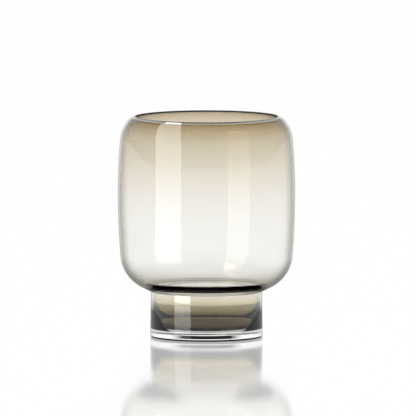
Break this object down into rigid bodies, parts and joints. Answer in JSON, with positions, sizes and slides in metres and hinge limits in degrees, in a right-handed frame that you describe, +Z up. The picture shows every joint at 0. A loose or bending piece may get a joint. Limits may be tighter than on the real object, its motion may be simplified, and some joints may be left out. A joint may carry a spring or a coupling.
{
  "type": "vase",
  "caption": "Footed glass vase: barrel-shaped bowl with rounded shoulder on a short hollow foot, clear glass with a smoke-tinted inner layer and a thick clear base.",
  "frame": {"origin": "centre of the underside, on the surface that the vase stands on", "axes": "+Z up along the turning axis, from the foot to the mouth; the vase is the same all round it"},
  "size_m": [0.2, 0.2, 0.249],
  "materials": {
    "clear_glass": "polished, clear and colourless",
    "smoke_glass": "polished, smoke brown that fades to clear near the waist",
    "dark_smoke_glass": "polished, even smoke brown"
  },
  "bodies": {
    "root": {"bowl": "clear_glass", "bowl_lining": "smoke_glass", "foot": "clear_glass", "foot_lining": "dark_smoke_glass"}
  },
  "joints": []
}
